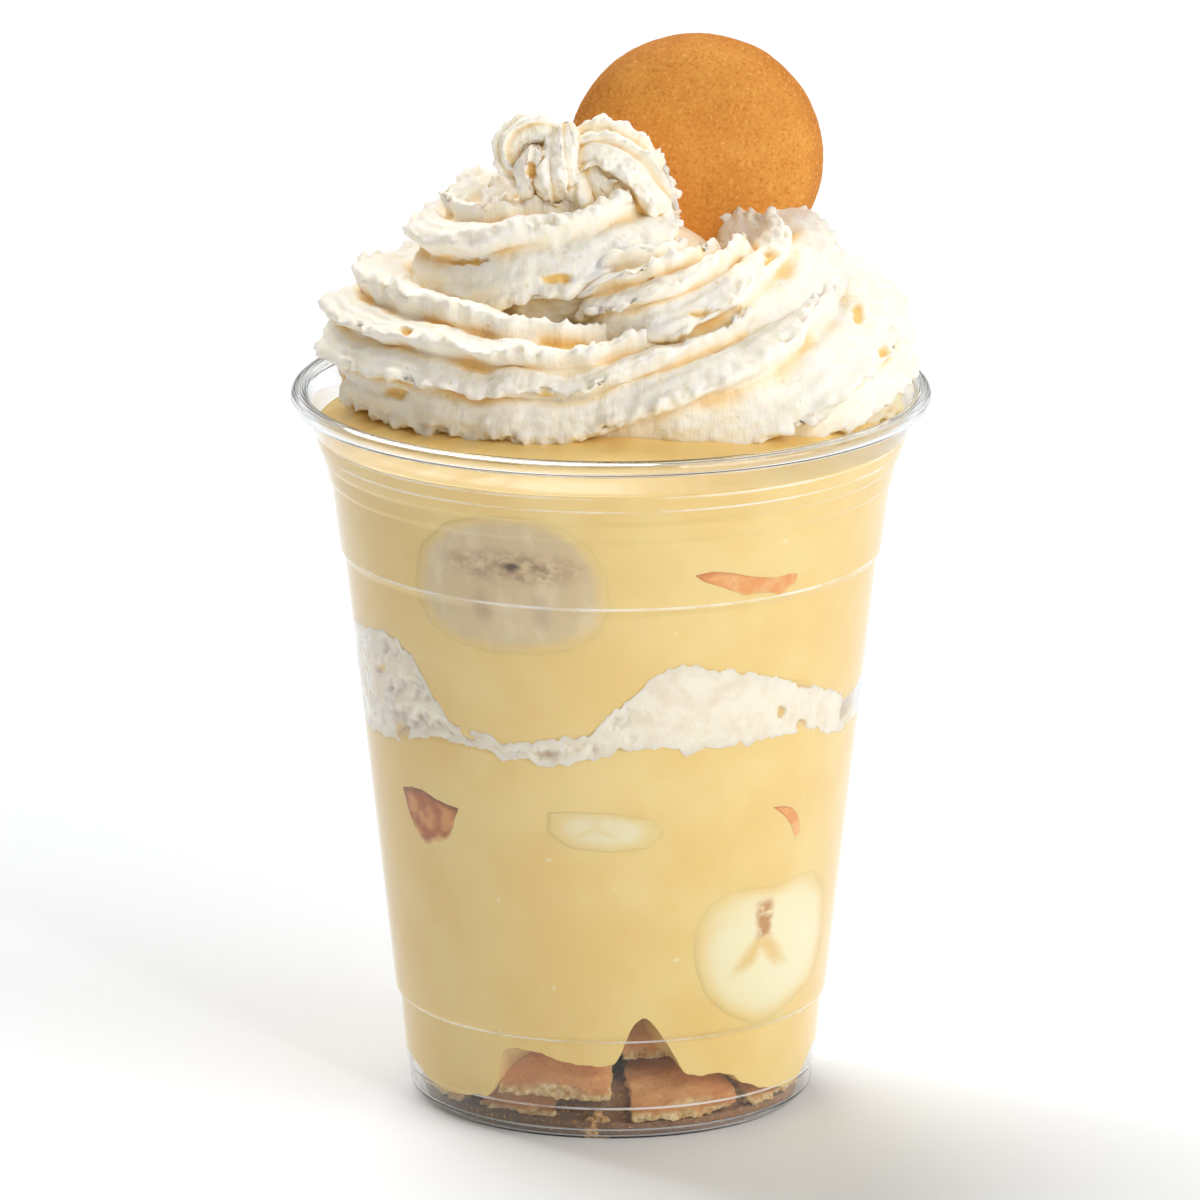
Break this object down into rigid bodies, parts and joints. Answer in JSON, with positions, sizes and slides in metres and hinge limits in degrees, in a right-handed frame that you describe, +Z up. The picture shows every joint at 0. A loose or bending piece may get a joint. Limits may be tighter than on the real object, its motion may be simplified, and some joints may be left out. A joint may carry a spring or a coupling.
{
  "type": "layered banana pudding in a clear cup",
  "caption": "Clear thin-walled cup of vanilla custard layered with whipped cream, banana slices and broken wafers, topped with a piped cream swirl and a whole wafer.",
  "frame": {"origin": "centre of the cup's foot, on the surface it stands on", "axes": "+Z up along the cup's axis; -Y towards the side with the two large banana slices; +X to the right seen from that side"},
  "size_m": [0.0978, 0.0978, 0.1613],
  "materials": {
    "clear_plastic": "clear thin PET plastic, smooth and glossy",
    "vanilla_custard": "set vanilla custard, opaque pale yellow with a soft sheen",
    "whipped_cream": "piped whipped cream, off-white and satin",
    "banana_flesh": "moist cut banana, cream-coloured",
    "baked_wafer": "dry baked vanilla wafer, golden brown and fine-grained"
  },
  "bodies": {
    "root": {"cup": "clear_plastic", "custard_lower": "vanilla_custard", "custard_upper": "vanilla_custard", "cream_band": "whipped_cream", "cream_swirl": "whipped_cream", "banana_slice_upper": "banana_flesh", "banana_slice_lower": "banana_flesh", "banana_slice_edge": "banana_flesh", "banana_slice_back_upper": "banana_flesh", "banana_slice_back_lower": "banana_flesh", "banana_slice_back_edge": "banana_flesh", "wafer_whole": "baked_wafer", "wafer_chip_upper": "baked_wafer", "wafer_chip_left": "baked_wafer", "wafer_chip_right": "baked_wafer", "wafer_chip_back_upper": "baked_wafer", "wafer_chip_back_lower": "baked_wafer", "wafer_piece_left": "baked_wafer", "wafer_piece_pale": "baked_wafer", "wafer_piece_front": "baked_wafer", "wafer_piece_centre": "baked_wafer", "wafer_piece_upright": "baked_wafer", "wafer_piece_right": "baked_wafer", "wafer_piece_back_a": "baked_wafer", "wafer_piece_back_b": "baked_wafer", "wafer_piece_back_c": "baked_wafer", "wafer_piece_back_d": "baked_wafer"}
  },
  "joints": []
}
